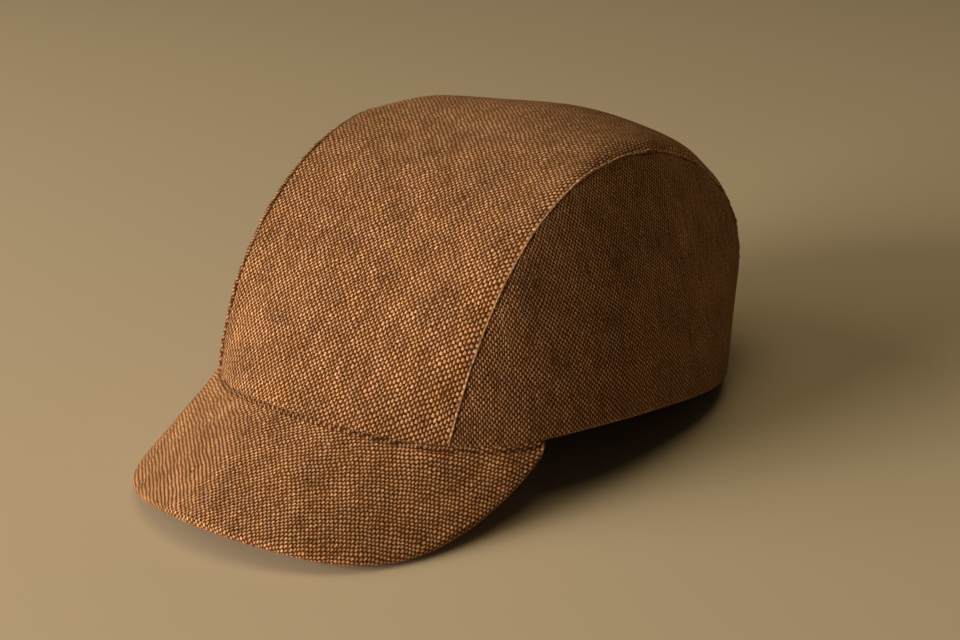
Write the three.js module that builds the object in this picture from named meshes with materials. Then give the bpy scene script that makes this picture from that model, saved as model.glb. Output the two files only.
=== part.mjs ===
// A tweed cap: three crown panels over canvas and lining, a sweatband, and a short cloth-covered visor.
// Millimetres. +Z is up, the cap faces -Y and the wearer's left is +X. It lies on the table plane on the
// wings of its visor and the back of its hem. The origin is under the middle of its outline, on the table.

import * as THREE from 'three';
import { NURBSCurve } from 'three/addons/curves/NURBSCurve.js';

// ---- head opening (the hem line of the crown), measured from the head's own centre ----
const HEAD_HALF_LENGTH = 101;
const HEAD_HALF_WIDTH = 83.5;
const FRONT_ROUNDNESS = 2.1; // superellipse exponents: 2 is an ellipse, more is squarer
const BACK_ROUNDNESS = 2.6;
const HEM_FRONT_HEIGHT = 33;
const HEM_CORNER_HEIGHT = 24.5; // where the visor ends
const VISOR_ANGLE = 58.5; // degrees round from the front: the visor's corner
const SEAM_FRONT_ANGLE = 38; // the crown seam leaves the hem here
const SEAM_BACK_ANGLE = 151; // and comes back to it here
const REST_ANGLE = 160; // from here to the back the hem lies on the table

// ---- crown: control points of the left seam (x, y, z) and of the ridge line in the middle (y, z) ----
const SEAM_POINTS = [
  [55, -72, 56.5],
  [54, -38, 97.5],
  [56.5, 22, 108.5],
  [58, 83, 83],
  [58.5, 108, 34],
];
const RIDGE_POINTS = [
  [-82.5, 53],
  [-37.5, 97.5],
  [30.5, 113.5],
  [95.5, 93.5],
  [119.5, 40.5],
];
const CENTRE_ARC = 70; // half angle in degrees of the arc that the centre panel makes from seam to seam
const SIDE_FLARE_FRONT = 0; // how far a side panel leans out over the hem, as a share of its radius
const SIDE_FLARE_BACK = 0.04;
const SIDE_SHOULDER = 0.39; // height of the side panel's shoulder between hem and seam
const SHOULDER_SHARPNESS = 2.2;

// ---- visor: control points of half its outer edge, from the corner to the middle of the front ----
const VISOR_POINTS = [
  [70.5, -60.5, 12.8],
  [69, -114.5, -4.9],
  [28.6, -149, 10.5],
];

// ---- cloth thicknesses and gaps ----
const GAP = 0.3;
const TWEED = 1.6;
const CANVAS = 0.6;
const LINING = 0.5;
const VISOR_CLOTH = 1;
const VISOR_BOARD = 1.4;
const BOARD_INSET = 3; // the board stops this far inside the visor's rim
const TAPE_HALF_WIDTH = 5;
const HEM_TURN = 5; // canvas and lining stop this far above the hem
const BAND_HEIGHT = 30;
const BAND_THICKNESS = 1.2;
const BAND_INSET = 7; // from the hem line to the band's outer face
const STAY_TAPE_HEIGHT = 8;
const STAY_TAPE_INSET = 4.6;
const STAY_TAPE_THICKNESS = 0.9;
const BAND_SLOPE = { front: 1.08, side: 0.2, back: -0.2 }; // how far it leans in for its height
const BAND_FRONT_SPAN = 60; // degrees from the front over which it eases from front to side

// ---- where the crown's layers stop, as shares of the crown's length from hem to hem ----
const TWEED_TIP_SHARE = 0.004;
const HEM_TURN_SHARE = 0.014;
const TAPE_END_SHARE = 0.035;
const CANVAS_TIP_SHARE = 0.06;

// ---- and as shares of the centre panel's half width, or of a side panel's width where it is narrow ----
const TWEED_REACH = 0.99;
const TAPE_REACH = 0.87;
const CANVAS_REACH = 0.84;
const SEAM_EDGE_MOST = 0.1;
const HEM_TURN_MOST = 0.25;
const TAPE_MOST = 0.25;
const CANVAS_EDGE_MOST = 0.3;

// ---- visor rim: the covers thin down over the last of the visor's depth, outside the board ----
const RIM_START = 0.93;
const RIM_ROUNDING = 0.55;
const BOARD_REACH = 0.93;

// ---- fineness of the mesh ----
const ROW_LINES = [
  0, HEM_TURN_SHARE, TAPE_END_SHARE, CANVAS_TIP_SHARE,
  ...Array.from({ length: 17 }, (_, i) => (i + 2) / 20),
  1 - CANVAS_TIP_SHARE, 1 - TAPE_END_SHARE, 1 - HEM_TURN_SHARE, 1,
];
const CENTRE_COLUMNS = 8;
const SIDE_COLUMNS = 4;
const VISOR_COLUMNS = 24;
const VISOR_ROWS = 4;
const RING_STEPS = 40;

const radians = THREE.MathUtils.degToRad;
const lerp = THREE.MathUtils.lerp;
const clamp = THREE.MathUtils.clamp;
const vector = (x, y, z) => new THREE.Vector3(x, y, z);
const steps = (from, to, count) => Array.from({ length: count + 1 }, (_, i) => lerp(from, to, i / count));

// One soft half wave from 1 down to 0 as u goes from 0 to 1.
const fallOff = (u) => (1 + Math.cos(Math.PI * clamp(u, 0, 1))) / 2;

function hemHeight(angle) {
  const turn = Math.abs(angle);
  if (turn < VISOR_ANGLE) return lerp(HEM_CORNER_HEIGHT, HEM_FRONT_HEIGHT, fallOff(turn / VISOR_ANGLE));
  return HEM_CORNER_HEIGHT * fallOff((turn - VISOR_ANGLE) / (REST_ANGLE - VISOR_ANGLE));
}

// A point of the hem, by its angle in degrees round from the front, moved in level by an inset.
function hemPoint(angle, inset = 0) {
  const across = Math.sin(radians(angle));
  const along = -Math.cos(radians(angle));
  const power = along < 0 ? FRONT_ROUNDNESS : BACK_ROUNDNESS;
  const reach = (Math.abs(across) ** power + Math.abs(along) ** power) ** (-1 / power);
  const x = (HEAD_HALF_WIDTH - inset) * across * reach;
  const y = (HEAD_HALF_LENGTH - inset) * along * reach;
  return vector(x, y, hemHeight(angle));
}

// A clamped uniform cubic B-spline through its two end points.
function spline(points) {
  const spans = points.length - 3;
  const inner = steps(0, 1, spans).slice(1, -1);
  const knots = [0, 0, 0, 0, ...inner, 1, 1, 1, 1];
  const weighted = points.map((point) => new THREE.Vector4(point.x, point.y, point.z, 1));
  return new NURBSCurve(3, knots, weighted);
}

const seamLine = spline([
  hemPoint(SEAM_FRONT_ANGLE),
  ...SEAM_POINTS.map(([x, y, z]) => vector(x, y, z)),
  hemPoint(SEAM_BACK_ANGLE),
]);
const ridgeLine = spline([hemPoint(0), ...RIDGE_POINTS.map(([y, z]) => vector(0, y, z)), hemPoint(180)]);

// ---- the crown's outer face ----
// t runs from the front hem (0) over the top to the back hem (1). q runs across: -1 to 1 is the centre
// panel from seam to seam, and 1 to 2 is a side panel from its seam down to the hem.

function centreArc(t, q) {
  const seam = seamLine.getPoint(t);
  const ridge = ridgeLine.getPoint(t);
  const arc = radians(CENTRE_ARC);
  const across = Math.sin(arc * q) / Math.sin(arc);
  const bulge = (Math.cos(arc * q) - Math.cos(arc)) / (1 - Math.cos(arc));
  return vector(seam.x * across, lerp(seam.y, ridge.y, bulge), lerp(seam.z, ridge.z, bulge));
}

// The arcs settle onto the hem line at both ends of the panel.
function centrePoint(t, q) {
  const front = hemPoint(q * SEAM_FRONT_ANGLE).sub(centreArc(0, q));
  const back = hemPoint(180 - q * (180 - SEAM_BACK_ANGLE)).sub(centreArc(1, q));
  return centreArc(t, q).addScaledVector(front, (1 - t) ** 6).addScaledVector(back, t ** 6);
}

function sidePoint(t, q) {
  const seam = seamLine.getPoint(t);
  const hem = hemPoint(lerp(SEAM_FRONT_ANGLE, SEAM_BACK_ANGLE, t));
  const flare = 1 + lerp(SIDE_FLARE_FRONT, SIDE_FLARE_BACK, t);
  const shoulder = vector(hem.x * flare, hem.y * flare, lerp(hem.z, seam.z, SIDE_SHOULDER));
  const sharpness = Math.min(1, SHOULDER_SHARPNESS * Math.sin(Math.PI * t));
  shoulder.lerp(hem.clone().lerp(seam, 0.5), 1 - sharpness);
  return new THREE.QuadraticBezierCurve3(seam, shoulder, hem).getPoint(q - 1);
}

function crownPoint(t, q) {
  const reach = Math.abs(q);
  const point = reach <= 1 ? centrePoint(t, reach) : sidePoint(t, reach);
  point.x *= Math.sign(q);
  return point;
}

// The outward direction. Both panels at a seam share one mitred direction, and at the hem it is level,
// so that the cut edge of the cloth lies flat.
function crownNormal(t, q) {
  const step = 0.01;
  const atSeam = Math.abs(Math.abs(q) - 1) < 0.03;
  const column = atSeam ? Math.sign(q) : q;
  const alongT = crownPoint(Math.min(1, t + step), column).sub(crownPoint(Math.max(0, t - step), column));
  const alongQ = crownPoint(t, Math.min(2, column + step)).sub(crownPoint(t, Math.max(-2, column - step)));
  const normal = alongQ.cross(alongT);
  if (t === 0 || t === 1 || Math.abs(q) === 2) normal.z = 0;
  return normal.normalize();
}

const crownSkin = (t, q) => ({ point: crownPoint(t, q), normal: crownNormal(t, q) });

// ---- the visor's middle face: w runs from its right corner (-1) to its left (1), r from seam to rim ----
const VISOR_THICKNESS = 2 * VISOR_CLOTH + 2 * GAP + VISOR_BOARD;
const visorRim = (() => {
  const corner = hemPoint(VISOR_ANGLE);
  corner.z -= VISOR_THICKNESS / 2 + GAP;
  const left = [corner, ...VISOR_POINTS.map(([x, y, z]) => vector(x, y, z))];
  const right = left.map((point) => vector(-point.x, point.y, point.z));
  return spline([...right, ...left.reverse()]);
})();

function visorPoint(w, r) {
  const seam = hemPoint(w * VISOR_ANGLE, TWEED);
  seam.z -= VISOR_THICKNESS / 2 + GAP;
  return seam.lerp(visorRim.getPoint((1 + w) / 2), r);
}

function visorSkin(w, r) {
  const step = 0.01;
  const alongW = visorPoint(Math.min(1, w + step), r).sub(visorPoint(Math.max(-1, w - step), r));
  const alongR = visorPoint(w, Math.min(1, r + step)).sub(visorPoint(w, Math.max(0, r - step)));
  return { point: visorPoint(w, r), normal: alongR.cross(alongW).normalize() };
}

// ---- solids ----

// Closes a grid of outer points and a matching grid of inner points into one body.
function closedShell(outer, inner) {
  const rows = outer.length;
  const columns = outer[0].length;
  const positions = [...outer.flat(), ...inner.flat()].flatMap((point) => point.toArray());
  const index = [];
  const outerAt = (i, j) => i * columns + j;
  const innerAt = (i, j) => rows * columns + i * columns + j;
  const quad = (a, b, c, d) => index.push(a, b, c, a, c, d);
  for (let i = 0; i + 1 < rows; i++) {
    for (let j = 0; j + 1 < columns; j++) {
      quad(outerAt(i, j), outerAt(i, j + 1), outerAt(i + 1, j + 1), outerAt(i + 1, j));
      quad(innerAt(i, j), innerAt(i + 1, j), innerAt(i + 1, j + 1), innerAt(i, j + 1));
    }
    const last = columns - 1;
    quad(outerAt(i, 0), outerAt(i + 1, 0), innerAt(i + 1, 0), innerAt(i, 0));
    quad(outerAt(i + 1, last), outerAt(i, last), innerAt(i, last), innerAt(i + 1, last));
  }
  for (let j = 0; j + 1 < columns; j++) {
    const last = rows - 1;
    quad(outerAt(0, j + 1), outerAt(0, j), innerAt(0, j), innerAt(0, j + 1));
    quad(outerAt(last, j), outerAt(last, j + 1), innerAt(last, j + 1), innerAt(last, j));
  }
  const geometry = new THREE.BufferGeometry();
  geometry.setAttribute('position', new THREE.Float32BufferAttribute(positions, 3));
  geometry.setIndex(index);
  return geometry;
}

// A layer of cloth on a skin, between two offsets from it. columnsAt gives each row's columns.
function layer(skin, rows, columnsAt, outerOffset, innerOffset) {
  const face = (offset) =>
    rows.map((row) =>
      columnsAt(row).map((column) => {
        const { point, normal } = skin(row, column);
        const depth = typeof offset === 'function' ? offset(row, column) : offset;
        return point.addScaledVector(normal, depth);
      }),
    );
  return closedShell(face(outerOffset), face(innerOffset));
}

// A closed band: rings of points from outside bottom, outside top, inside top to inside bottom.
function ringBand(pointAt) {
  const corners = 4;
  const positions = [];
  const index = [];
  for (let i = 0; i < RING_STEPS; i++) {
    for (let corner = 0; corner < corners; corner++) {
      positions.push(...pointAt((360 * i) / RING_STEPS - 180, corner).toArray());
      const here = i * corners;
      const next = ((i + 1) % RING_STEPS) * corners;
      const other = (corner + 1) % corners;
      index.push(here + corner, next + corner, next + other, here + corner, next + other, here + other);
    }
  }
  const geometry = new THREE.BufferGeometry();
  geometry.setAttribute('position', new THREE.Float32BufferAttribute(positions, 3));
  geometry.setIndex(index);
  return geometry;
}

function fabric(color, roughness = 0.95) {
  return new THREE.MeshStandardMaterial({ color, roughness, metalness: 0 });
}

const tweedCloth = fabric(0x7a4f2e);
const canvasCloth = fabric(0xcdbfa2);
const liningCloth = fabric(0x3b2417, 0.6);
const tapeCloth = fabric(0x4a3526);
const bandCloth = fabric(0x54381f, 0.8);
const boardPlastic = fabric(0xd8d4c8, 0.55);

const headFrame = new THREE.Group();

function addPiece(name, geometry, material) {
  const mesh = new THREE.Mesh(geometry, material);
  mesh.name = name;
  headFrame.add(mesh);
}

// ---- crown, canvas, lining and seam tapes ----

// Every layer of the crown keeps the same grid lines, so that the layers lie evenly inside each other.
const rowsWithin = (margin) => ROW_LINES.filter((t) => t >= margin && t <= 1 - margin);

// How far down a side panel a distance in millimetres reaches, as a share of the panel's width there.
function sideShare(t, distance, most) {
  const width = seamLine.getPoint(t).distanceTo(hemPoint(lerp(SEAM_FRONT_ANGLE, SEAM_BACK_ANGLE, t)));
  return Math.min(distance / width, most);
}

const tapeEdge = (t) => 1 + sideShare(t, TAPE_HALF_WIDTH, TAPE_MOST);
const canvasEdge = (t) => 1 + sideShare(t, TAPE_HALF_WIDTH + 1, CANVAS_EDGE_MOST);
const hemTurnEdge = (t) => 2 - sideShare(t, HEM_TURN, HEM_TURN_MOST);
const sideInterior = (t) => steps(canvasEdge(t), hemTurnEdge(t), SIDE_COLUMNS);
const seamEdge = (t, clearance) => 1 + sideShare(t, clearance, SEAM_EDGE_MOST);
const centreInterior = steps(-CANVAS_REACH, CANVAS_REACH, CENTRE_COLUMNS);

const onSide = (side, columnsAt) => (t) => {
  const columns = columnsAt(t);
  return side > 0 ? columns : columns.map((column) => -column).reverse();
};

const canvasOuter = -(TWEED + GAP);
const canvasInner = canvasOuter - CANVAS;
const liningOuter = canvasInner - GAP;
const liningInner = liningOuter - LINING;

function addCentreLayers() {
  const tweedColumns = [-TWEED_REACH, -TAPE_REACH, ...centreInterior, TAPE_REACH, TWEED_REACH];
  const turned = rowsWithin(HEM_TURN_SHARE);
  addPiece('crown_centre_panel',
    layer(crownSkin, ROW_LINES, () => tweedColumns, 0, -TWEED), tweedCloth);
  addPiece('canvas_centre',
    layer(crownSkin, turned, () => centreInterior, canvasOuter, canvasInner), canvasCloth);
  addPiece('lining_centre',
    layer(crownSkin, turned, () => tweedColumns, liningOuter, liningInner), liningCloth);
}

function addSideLayers(label, side) {
  const tweedRows = [TWEED_TIP_SHARE, ...rowsWithin(HEM_TURN_SHARE), 1 - TWEED_TIP_SHARE];
  const tweedColumns = onSide(side, (t) => [seamEdge(t, GAP / 3), tapeEdge(t), ...sideInterior(t), 2]);
  const canvasColumns = onSide(side, sideInterior);
  const liningColumns = onSide(side, (t) => [seamEdge(t, GAP), tapeEdge(t), ...sideInterior(t)]);
  addPiece(`crown_side_panel_${label}`,
    layer(crownSkin, tweedRows, tweedColumns, 0, -TWEED), tweedCloth);
  addPiece(`canvas_side_${label}`,
    layer(crownSkin, rowsWithin(CANVAS_TIP_SHARE), canvasColumns, canvasOuter, canvasInner), canvasCloth);
  addPiece(`lining_side_${label}`,
    layer(crownSkin, rowsWithin(CANVAS_TIP_SHARE), liningColumns, liningOuter, liningInner), liningCloth);
}

// A twill tape lies over each seam's turnings, between the edges of the canvas.
function addSeamTape(label, side) {
  const columns = onSide(side, (t) => [TAPE_REACH, 1, tapeEdge(t)]);
  addPiece(`seam_tape_${label}`,
    layer(crownSkin, rowsWithin(TAPE_END_SHARE), columns, canvasOuter, canvasInner), tapeCloth);
}

// ---- bands round the head opening ----

// How far in the bands lean for their height: most at the sloping front, slightly out at the back.
function bandSlope(angle) {
  const turn = Math.abs(angle);
  if (turn < 90) return lerp(BAND_SLOPE.side, BAND_SLOPE.front, fallOff(turn / BAND_FRONT_SPAN));
  return lerp(BAND_SLOPE.back, BAND_SLOPE.side, fallOff((turn - 90) / 90));
}

function addBand(name, inset, thickness, height, material) {
  const pointAt = (angle, corner) => {
    const isInside = corner > 1;
    const rise = corner === 1 || corner === 2 ? height : GAP;
    const point = hemPoint(angle, inset + bandSlope(angle) * rise + (isInside ? thickness : 0));
    point.z += rise;
    return point;
  };
  addPiece(name, ringBand(pointAt), material);
}

// ---- visor ----

function addVisor() {
  const columns = steps(-1, 1, VISOR_COLUMNS);
  const rows = [...steps(0, RIM_START, VISOR_ROWS), 1];
  const half = VISOR_THICKNESS / 2;
  const coverInner = half - VISOR_CLOTH;
  // The two covers close on each other round the rim, where the board has stopped.
  const innerFace = (sign) => (w, r) => sign * (r === 1 ? GAP / 2 : coverInner);
  const outerFace = (sign) => (w, r) => sign * (r === 1 ? half * RIM_ROUNDING : half);
  addPiece('visor_top_cover',
    layer(visorSkin, columns, () => rows, outerFace(1), innerFace(1)), tweedCloth);
  addPiece('visor_under_cover',
    layer(visorSkin, columns, () => rows, innerFace(-1), outerFace(-1)), tweedCloth);
  const boardColumns = steps(-BOARD_REACH, BOARD_REACH, VISOR_COLUMNS);
  const boardRows = (w) => {
    const width = visorPoint(w, 0).distanceTo(visorPoint(w, 1));
    return steps(BOARD_INSET / width, 1 - 2 * BOARD_INSET / width, VISOR_ROWS - 1);
  };
  addPiece('visor_board',
    layer(visorSkin, boardColumns, boardRows, VISOR_BOARD / 2, -VISOR_BOARD / 2), boardPlastic);
}

addCentreLayers();
for (const [label, side] of [['left', 1], ['right', -1]]) {
  addSideLayers(label, side);
  addSeamTape(label, side);
}
addBand('hem_stay_tape', STAY_TAPE_INSET, STAY_TAPE_THICKNESS, STAY_TAPE_HEIGHT, tapeCloth);
addBand('sweatband', BAND_INSET, BAND_THICKNESS, BAND_HEIGHT, bandCloth);
addVisor();

// ---- the part's own frame: its outline centred over the origin, standing on the table plane ----
const outline = new THREE.Box3().setFromObject(headFrame);
headFrame.position.set(0, -(outline.min.y + outline.max.y) / 2, -outline.min.z);

const cap = new THREE.Group();
cap.add(headFrame);

export default cap;
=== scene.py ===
import math

import bpy
import numpy as np
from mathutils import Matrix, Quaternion, Vector


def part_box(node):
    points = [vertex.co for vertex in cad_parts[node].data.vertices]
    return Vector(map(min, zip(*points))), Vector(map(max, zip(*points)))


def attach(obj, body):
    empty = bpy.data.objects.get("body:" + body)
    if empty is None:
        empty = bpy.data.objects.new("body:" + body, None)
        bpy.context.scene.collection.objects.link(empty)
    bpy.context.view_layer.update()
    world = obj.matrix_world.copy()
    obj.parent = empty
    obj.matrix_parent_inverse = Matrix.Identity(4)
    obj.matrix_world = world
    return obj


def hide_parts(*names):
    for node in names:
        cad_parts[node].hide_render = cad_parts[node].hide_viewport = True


# A wool tweed cap lying on a pale floor: three crown panels, each over canvas and lining, a cloth-covered
# visor and a sweatband. Sizes are in millimetres in the row frame (+Z up, the cap faces -Y, the wearer's
# left is +X), and meshes are written in metres. Every piece of cloth is built from the CAD's own surface.

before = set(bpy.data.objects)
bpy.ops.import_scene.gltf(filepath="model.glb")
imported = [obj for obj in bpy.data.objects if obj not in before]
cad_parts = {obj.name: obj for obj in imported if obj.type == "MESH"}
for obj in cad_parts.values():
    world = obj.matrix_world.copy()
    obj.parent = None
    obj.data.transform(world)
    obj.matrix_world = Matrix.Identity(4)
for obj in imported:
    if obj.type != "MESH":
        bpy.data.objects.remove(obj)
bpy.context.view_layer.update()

MM = 0.001

# ---- camera, lights and floor ----

CAMERA_AZIMUTH = 37.3
CAMERA_ELEVATION = 22.0
CAMERA_ROLL = -0.5
CAMERA_DISTANCE = 729
CAMERA_TARGET = (12.2, 7.6, 40)
CAMERA_LENS = 75
CAMERA_SENSOR = 36

LIGHT_DISTANCE = 1800
FLOOR_SIZE = 8000
FLOOR_ROUGHNESS = 0.7
FLOOR_COLOUR = (0.68, 0.56, 0.43, 1)
WORLD_COLOUR = (1.0, 0.76, 0.48, 1)
WORLD_STRENGTH = 0.02


def direction(azimuth, elevation):
    """The unit vector from the cap towards a place round it: azimuth 0 is the front, 90 the wearer's left."""
    turn, lift = math.radians(azimuth), math.radians(elevation)
    return Vector((math.sin(turn) * math.cos(lift), -math.cos(turn) * math.cos(lift), math.sin(lift)))


def place(name, data):
    """A new object in the scene."""
    made = bpy.data.objects.new(name, data)
    bpy.context.scene.collection.objects.link(made)
    return made


def add_camera():
    back = direction(CAMERA_AZIMUTH, CAMERA_ELEVATION)
    lens = bpy.data.cameras.new("camera")
    lens.lens = CAMERA_LENS
    lens.sensor_width = CAMERA_SENSOR
    camera = place("camera", lens)
    camera.location = (Vector(CAMERA_TARGET) + back * CAMERA_DISTANCE) * MM
    camera.rotation_mode = "QUATERNION"
    roll = Quaternion((0, 0, 1), math.radians(CAMERA_ROLL))
    camera.rotation_quaternion = (-back).to_track_quat("-Z", "Y") @ roll
    bpy.context.scene.camera = camera


def add_light(name, azimuth, elevation, size, watts, colour):
    """A round soft light, turned towards the cap."""
    lamp = bpy.data.lights.new(name, "AREA")
    lamp.shape = "DISK"
    lamp.size = size * MM
    lamp.energy = watts
    lamp.color = colour
    towards = direction(azimuth, elevation)
    light = place(name, lamp)
    light.location = (Vector(CAMERA_TARGET) + towards * LIGHT_DISTANCE) * MM
    light.rotation_mode = "QUATERNION"
    light.rotation_quaternion = (-towards).to_track_quat("-Z", "Y")


def add_floor():
    half = FLOOR_SIZE / 2 * MM
    mesh = bpy.data.meshes.new("floor")
    corners = [(-half, -half, 0), (half, -half, 0), (half, half, 0), (-half, half, 0)]
    mesh.from_pydata(corners, [], [(0, 1, 2, 3)])
    floor = place("floor", mesh)
    finish = bpy.data.materials.new("floor")
    finish.use_nodes = True
    shader = finish.node_tree.nodes["Principled BSDF"]
    shader.inputs["Base Color"].default_value = FLOOR_COLOUR
    shader.inputs["Roughness"].default_value = FLOOR_ROUGHNESS
    mesh.materials.append(finish)


def add_world():
    world = bpy.data.worlds.new("studio")
    world.use_nodes = True
    background = world.node_tree.nodes["Background"]
    background.inputs["Color"].default_value = WORLD_COLOUR
    background.inputs["Strength"].default_value = WORLD_STRENGTH
    bpy.context.scene.world = world


add_camera()
add_world()
add_floor()
add_light("key", azimuth=-24, elevation=11, size=1150, watts=42.0, colour=(1.0, 0.89, 0.69))
add_light("window", azimuth=-55, elevation=30, size=1150, watts=7.0, colour=(1.0, 0.88, 0.66))
add_light("overhead", azimuth=0, elevation=85, size=1500, watts=6.6, colour=(1.0, 0.83, 0.44))
bpy.context.scene.view_settings.view_transform = "Standard"

# ---- the cap's driving sizes, as in the CAD ----

HEAD_HALF_LENGTH = 101  # of the hem's outside
HEAD_HALF_WIDTH = 83.5
FRONT_ROUNDNESS = 2.1  # powers of the hem's outline: 2 is an ellipse, more is squarer
BACK_ROUNDNESS = 2.6
HEM_FRONT_HEIGHT = 33  # above the floor, at the middle of the visor and at its corners
HEM_CORNER_HEIGHT = 24.5
VISOR_ANGLE = 58.5  # places round the hem, in degrees from the front
SEAM_FRONT_ANGLE = 38
SEAM_BACK_ANGLE = 151
REST_ANGLE = 160  # from here back the hem lies on the floor
SEAM_POINTS = [(55, -72, 56.5), (54, -38, 97.5), (56.5, 22, 108.5), (58, 83, 83), (58.5, 108, 34)]
RIDGE_POINTS = [(-82.5, 53), (-37.5, 97.5), (30.5, 113.5), (95.5, 93.5), (119.5, 40.5)]
CENTRE_ARC = math.radians(70)
SIDE_FLARE_BACK = 0.04
SIDE_SHOULDER = 0.39
SHOULDER_SHARPNESS = 2.2
VISOR_POINTS = [(70.5, -60.5, 12.8), (69, -114.5, -4.9), (28.6, -149, 10.5)]

GAP = 0.3
TWEED = 1.6
CANVAS = 0.6
LINING = 0.5
VISOR_CLOTH = 1
VISOR_BOARD = 1.4
VISOR_THICKNESS = 2 * VISOR_CLOTH + 2 * GAP + VISOR_BOARD
TAPE_HALF_WIDTH = 5
HEM_TURN = 5  # canvas and lining end this far above the hem
BAND_HEIGHT = 30
BAND_THICKNESS = 1.2
BAND_INSET = 7
STAY_TAPE_HEIGHT = 8
STAY_TAPE_INSET = 4.6
STAY_TAPE_THICKNESS = 0.9
BAND_SLOPE_FRONT = 1.08
BAND_SLOPE_SIDE = 0.2
BAND_SLOPE_BACK = -0.2
BAND_FRONT_SPAN = 60
SIDE_LAYER_TIP = 0.06  # canvas and lining end this share of a side panel's length short of its tips

# The opening's centre, in the row frame: half a head length behind the front of the crown.
HEAD_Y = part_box("crown_centre_panel")[0].y / MM + HEAD_HALF_LENGTH

# ---- how the cloth lies ----

SEAM_SLIT = 0.03  # half the slit that the stitches leave between two panels
FULL_AT = 10  # a panel swells up from its seams, and is fullest this far off
PUCKERS = [(4.2, 0.22, 1.6), (18, 0.22, 11)]  # length, height and reach of the puckers beside a seam
HEM_THICKNESS = 4.0  # the folded hem
HEM_RADIUS = 1.6
HEM_RADIUS_AT_VISOR = 1.1
HEM_RADIUS_INSIDE = HEM_THICKNESS - HEM_RADIUS - 0.2
THINNEST = 0.15  # the tweed is at least this thick where it rolls over an edge
FOLD_END = 4.3  # the inner leaf of the folded hem ends here
SWELL = 0.5  # slow unevenness of the crown, and how far it stays off the hem and the seams
SWELL_LENGTH = 70
SWELL_OFF_HEM = 25
SWELL_OFF_SEAM = 12
FULL_HIGH = 45  # a panel is as full as that only this far above the hem
EDGE_OFF_HEM = 4  # seam edges settle into the hem over this height
HEM_HIGHLIGHT = (0.35, 0.6, 0.8)  # painted highlight along the hem's rolled edge: how pale, where and how widely
BEAD_WAVES = 0.10  # the roll beside a seam is uneven from stitch to stitch
BEAD_LENGTH = 3.6
HEM_SHADE = 0.6  # painted shade where the hem meets the visor: how dark, and how far it reaches
HEM_SHADE_REACH = 0.8

# Seeds of the random unevenness.
CENTRE_SEED = 5
SIDE_SEED = 8
SWELL_SEED = 50
BEAD_SEED = 70
BAND_SEED = 21
VISOR_SEED = 31

EDGE_STEPS = np.array([0, 0.12, 0.28, 0.5, 0.75, 1.05, 1.4, 1.9, 2.6, 3.4, 4.2, 5.0])
EDGE_SHARE = 0.3  # of a narrow panel's width


def lerp(a, b, share):
    return a + (b - a) * share


def smooth(u):
    u = np.clip(u, 0, 1)
    return u * u * (3 - 2 * u)


def fall_off(u):
    """One soft half wave from 1 down to 0 as u goes from 0 to 1."""
    return (1 + np.cos(np.pi * np.clip(u, 0, 1))) / 2


def stacked(x, y, z):
    return np.stack(np.broadcast_arrays(x, y, z), -1)


def unit(vectors):
    return vectors / np.linalg.norm(vectors, axis=-1, keepdims=True)


# ---- the CAD's surfaces, as functions of arrays ----


def hem_height(angle):
    turn = np.abs(angle)
    front = lerp(HEM_CORNER_HEIGHT, HEM_FRONT_HEIGHT, fall_off(turn / VISOR_ANGLE))
    back = HEM_CORNER_HEIGHT * fall_off((turn - VISOR_ANGLE) / (REST_ANGLE - VISOR_ANGLE))
    return np.where(turn < VISOR_ANGLE, front, back)


def hem_point(angle, inset=0.0):
    """A point of the hem, by its angle in degrees round from the front, moved in level by an inset."""
    across = np.sin(np.radians(angle))
    along = -np.cos(np.radians(angle))
    power = np.where(along < 0, FRONT_ROUNDNESS, BACK_ROUNDNESS)
    reach = (np.abs(across) ** power + np.abs(along) ** power) ** (-1 / power)
    x = (HEAD_HALF_WIDTH - inset) * across * reach
    y = (HEAD_HALF_LENGTH - inset) * along * reach
    return stacked(x, y, hem_height(angle))


def spline(points):
    """A clamped uniform cubic B-spline through its two end points, as a function of an array of shares."""
    points = np.array(points, float)
    knots = np.concatenate([np.zeros(3), np.linspace(0, 1, len(points) - 2), np.ones(3)])

    def rise(t, i, degree):
        span = knots[i + degree] - knots[i]
        return (t - knots[i]) / span if span > 0 else np.zeros_like(t)

    def at(t):
        t = np.clip(np.asarray(t, float), 0, 1 - 1e-9)
        basis = [((knots[i] <= t) & (t < knots[i + 1])).astype(float) for i in range(len(knots) - 1)]
        for degree in (1, 2, 3):
            basis = [
                rise(t, i, degree) * basis[i] + (1 - rise(t, i + 1, degree)) * basis[i + 1]
                for i in range(len(basis) - 1)
            ]
        return sum(weight[..., None] * point for weight, point in zip(basis, points))

    return at


seam_line = spline([hem_point(SEAM_FRONT_ANGLE), *SEAM_POINTS, hem_point(SEAM_BACK_ANGLE)])
ridge_line = spline([hem_point(0), *[(0, y, z) for y, z in RIDGE_POINTS], hem_point(180)])


def centre_arc(t, q):
    seam, ridge = seam_line(t), ridge_line(t)
    across = np.sin(CENTRE_ARC * q) / math.sin(CENTRE_ARC)
    bulge = (np.cos(CENTRE_ARC * q) - math.cos(CENTRE_ARC)) / (1 - math.cos(CENTRE_ARC))
    y = lerp(seam[..., 1], ridge[..., 1], bulge)
    z = lerp(seam[..., 2], ridge[..., 2], bulge)
    return stacked(seam[..., 0] * across, y, z)


def centre_point(t, q):
    """The centre panel from front hem (t 0) to back hem (t 1) and from seam to seam (q -1 to 1)."""
    t, q = np.broadcast_arrays(t, q)
    front = hem_point(q * SEAM_FRONT_ANGLE) - centre_arc(np.zeros_like(t), q)
    back = hem_point(180 - q * (180 - SEAM_BACK_ANGLE)) - centre_arc(np.ones_like(t), q)
    settled = front * ((1 - t) ** 6)[..., None] + back * (t**6)[..., None]
    return centre_arc(t, q) + settled


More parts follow.
